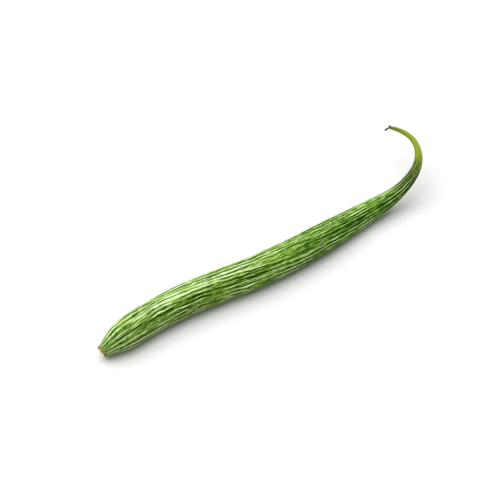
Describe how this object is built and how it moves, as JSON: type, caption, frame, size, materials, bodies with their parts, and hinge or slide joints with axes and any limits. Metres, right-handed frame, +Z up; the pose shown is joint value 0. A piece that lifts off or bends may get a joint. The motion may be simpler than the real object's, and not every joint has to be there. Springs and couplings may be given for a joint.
{
  "type": "snake gourd",
  "caption": "Long, slender striped snake gourd as picked, lying down, with a cut stalk stub at the thick end and a thin curled tail tipped by a withered flower.",
  "frame": {"origin": "centre of the gourd's box, at the height of the surface it lies on", "axes": "+X along the gourd from the cut stalk to the curled tail, +Y to the side that the tail's tip turns to, +Z up"},
  "size_m": [0.4568, 0.0942, 0.0458],
  "materials": {
    "gourd_skin": "waxy satin skin, pale green streaks over dark green",
    "cut_stalk": "matte cut fibre with a brown rim",
    "dried_flower": "dry, matte, dark brown"
  },
  "bodies": {
    "root": {"fruit": "gourd_skin", "stem_stub": "cut_stalk", "flower_remnant": "dried_flower"}
  },
  "joints": []
}
